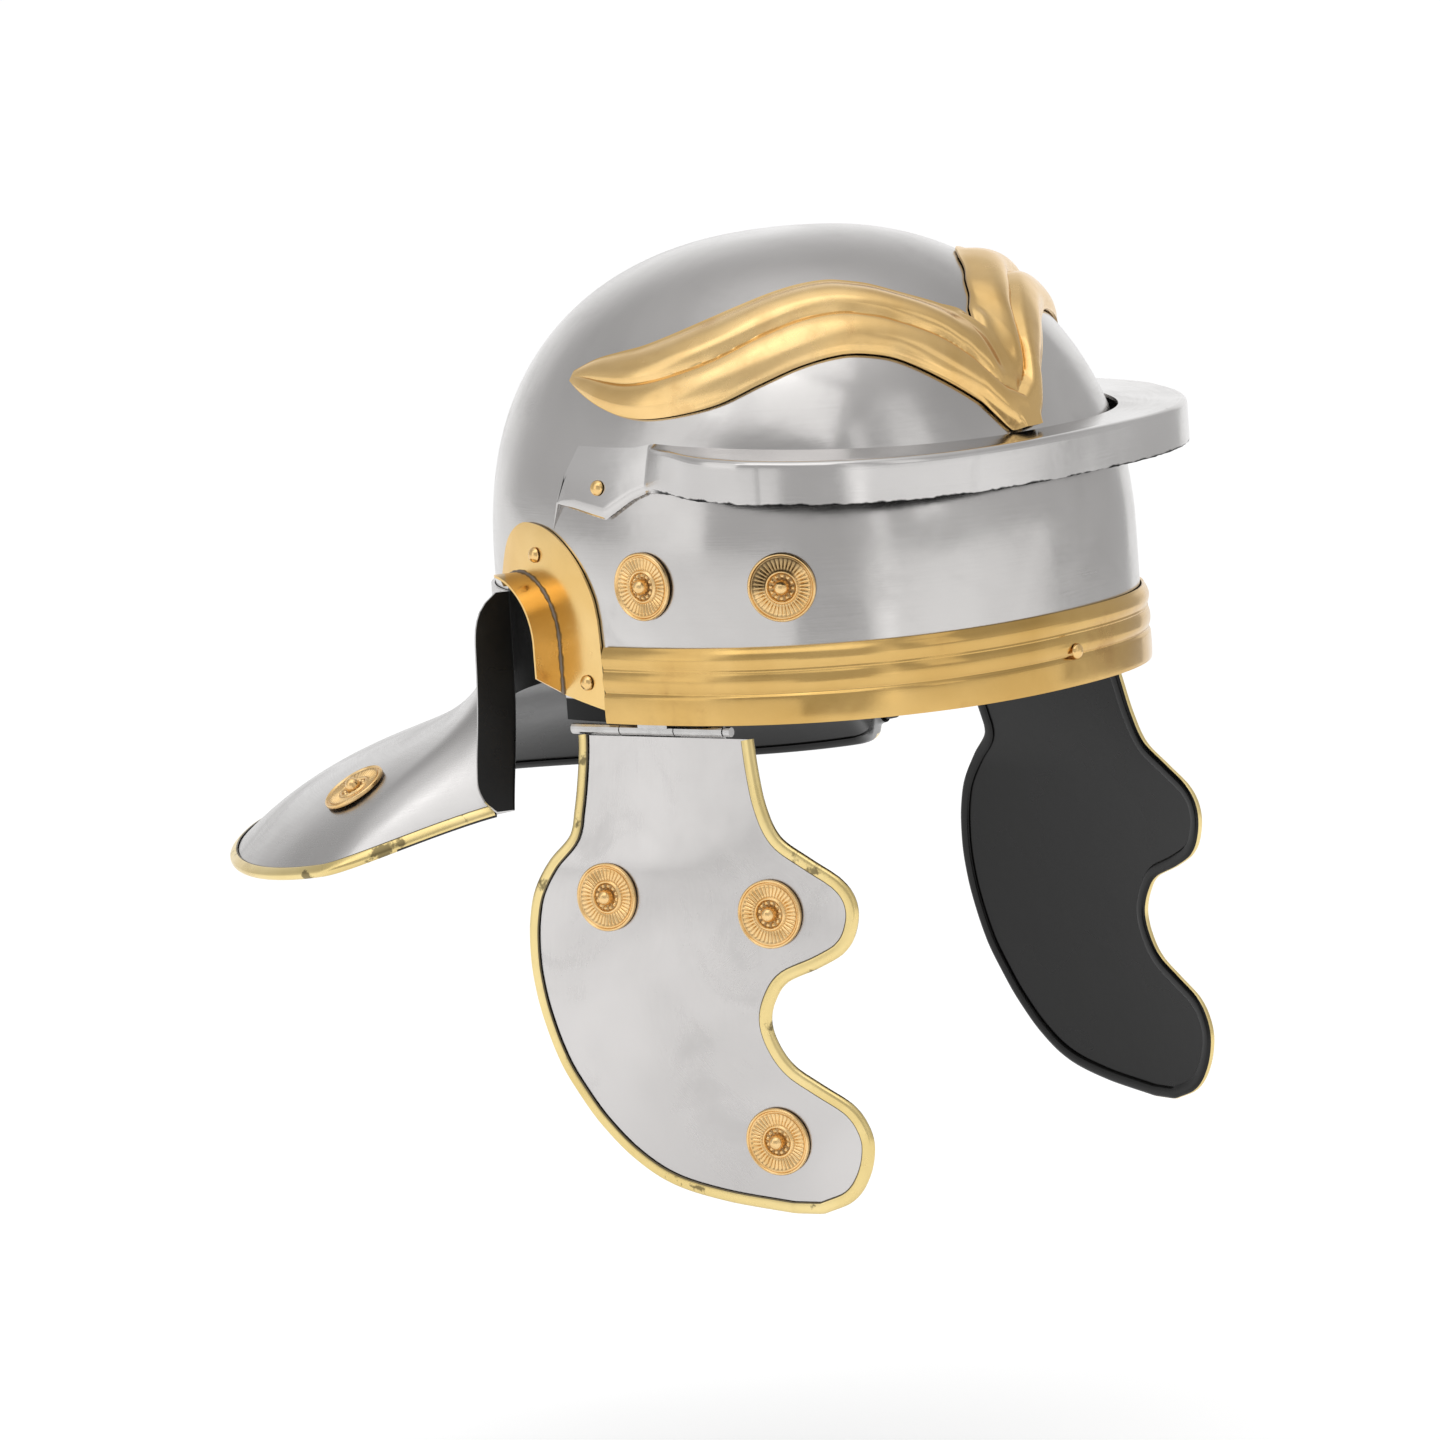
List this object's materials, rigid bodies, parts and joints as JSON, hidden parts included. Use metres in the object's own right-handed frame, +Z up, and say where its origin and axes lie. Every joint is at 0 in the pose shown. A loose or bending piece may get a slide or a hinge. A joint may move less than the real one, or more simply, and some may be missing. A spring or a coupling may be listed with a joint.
{
  "type": "roman legionary helmet",
  "caption": "Open-faced steel infantry helmet with a brow guard, a wide flared neck guard, ear openings, brass fittings and hinged cheek guards.",
  "frame": {"origin": "middle of the head opening, in the plane of the bowl's rim", "axes": "+Z up, -Y the way the wearer faces, -X the wearer's right"},
  "size_m": [0.295, 0.3328, 0.3151],
  "materials": {
    "steel": "polished, finely brushed, with smudges and small pits; black paint on the inside faces",
    "brass": "polished, lightly tarnished",
    "trim_brass": "satin, with dark edges",
    "rosette_brass": "stamped, dark in the recesses",
    "hinge_steel": "dull steel",
    "black_paint": "satin black paint inside the helmet"
  },
  "bodies": {
    "root": {"skull": "steel", "neck_guard": "steel", "neck_guard_trim": "trim_brass", "brow_guard": "steel", "brow_band": "brass", "eyebrow_plate": "brass", "ear_guard_right": "brass", "ear_guard_left": "brass", "hinge_leaf_right": "hinge_steel", "hinge_leaf_left": "hinge_steel", "hinge_pin_right": "hinge_steel", "hinge_pin_left": "hinge_steel", "bowl_rosette_rear_right": "rosette_brass", "bowl_rosette_front_right": "rosette_brass", "bowl_rosette_rear_left": "rosette_brass", "bowl_rosette_front_left": "rosette_brass", "neck_rosette_right": "rosette_brass", "neck_rosette_left": "rosette_brass", "ear_rivet_low_right": "brass", "ear_rivet_top_right": "brass", "ear_rivet_low_left": "brass", "ear_rivet_top_left": "brass", "tab_rivet_right": "brass", "tab_rivet_left": "brass", "band_rivet": "brass"},
    "cheek_right": {"cheek_guard_right": "steel", "cheek_trim_right": "trim_brass", "cheek_leaf_right": "hinge_steel", "cheek_rosette_rear_right": "rosette_brass", "cheek_rosette_front_right": "rosette_brass", "cheek_rosette_low_right": "rosette_brass"},
    "cheek_left": {"cheek_guard_left": "steel", "cheek_trim_left": "trim_brass", "cheek_leaf_left": "hinge_steel", "cheek_rosette_rear_left": "rosette_brass", "cheek_rosette_front_left": "rosette_brass", "cheek_rosette_low_left": "rosette_brass"}
  },
  "joints": [
    {"name": "cheek_hinge_right", "type": "hinge", "parent": "root", "child": "cheek_right", "pos_m": [-0.1018, -0.004, -0.0022], "axis": [-0.0484, 0.9988, 0], "range_deg": [-25, 90]},
    {"name": "cheek_hinge_left", "type": "hinge", "parent": "root", "child": "cheek_left", "pos_m": [0.1018, -0.004, -0.0022], "axis": [-0.0484, -0.9988, 0], "range_deg": [-25, 90]}
  ]
}
